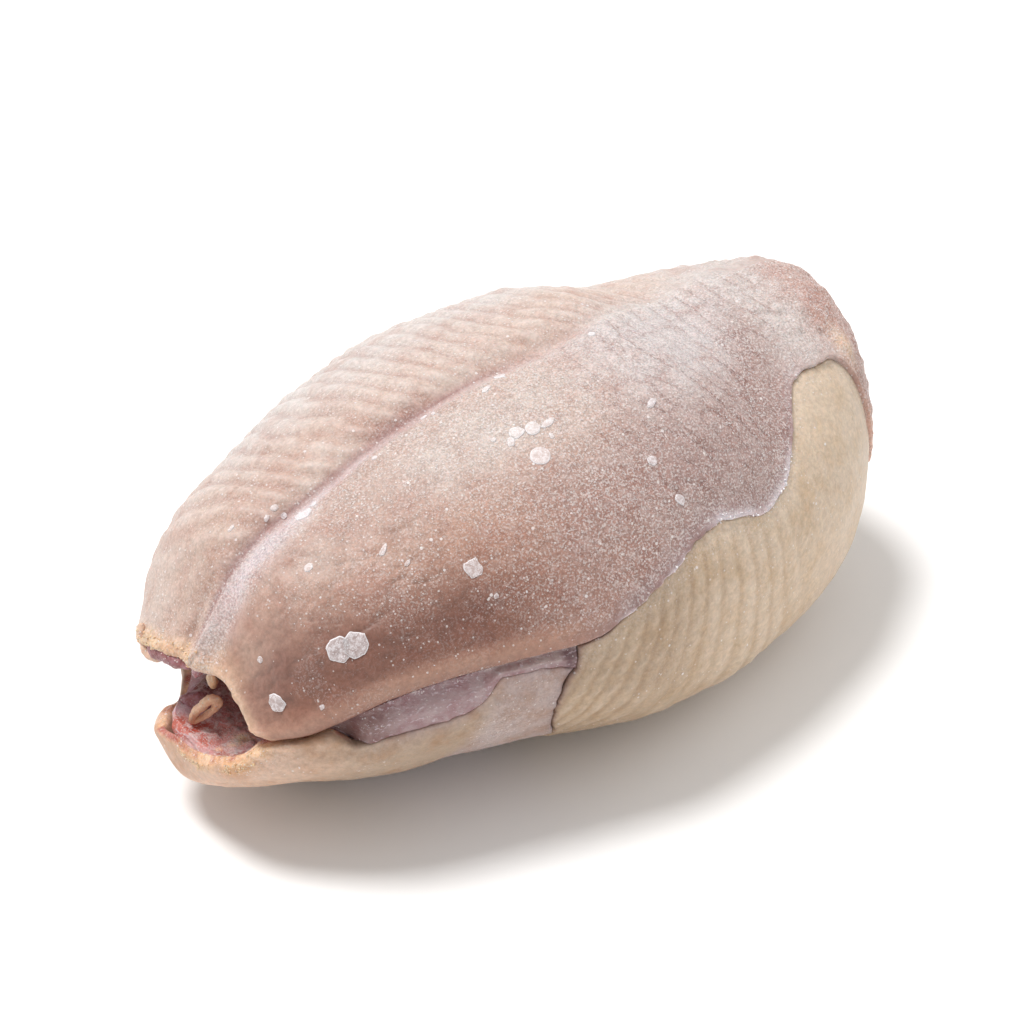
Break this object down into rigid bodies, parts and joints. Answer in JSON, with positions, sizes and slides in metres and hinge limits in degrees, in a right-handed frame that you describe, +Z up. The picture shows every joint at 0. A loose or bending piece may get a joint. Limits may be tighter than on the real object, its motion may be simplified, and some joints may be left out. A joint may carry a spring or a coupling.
{
  "type": "raw goose breast",
  "caption": "Whole raw frozen goose breast on the bone, rounded, with a furrow between its lobes and an open mouth at the cut end.",
  "frame": {"origin": "on the ground plane, below the centre of the box round the breast as it lies", "axes": "+X along the breast from the cut end to the far end, +Z up out of the keel line, +Y towards the lobe that is farther from the camera"},
  "size_m": [0.261, 0.1556, 0.1113],
  "materials": {
    "meat": "frosted purple-red raw meat with a thin pale membrane",
    "breast_skin": "greyish pink skin with frost on it",
    "back_skin": "tan to cream skin with fine wrinkles",
    "flank_skin": "cream skin with fine rows of ridges",
    "tissue": "moist tan tissue",
    "fat": "moist orange-yellow fat"
  },
  "bodies": {
    "root": {"meat": "meat", "breast_skin": "breast_skin", "back_skin": "back_skin", "flank_skin": "flank_skin", "tissue_loop": "tissue", "fat_knob": "fat"}
  },
  "joints": []
}
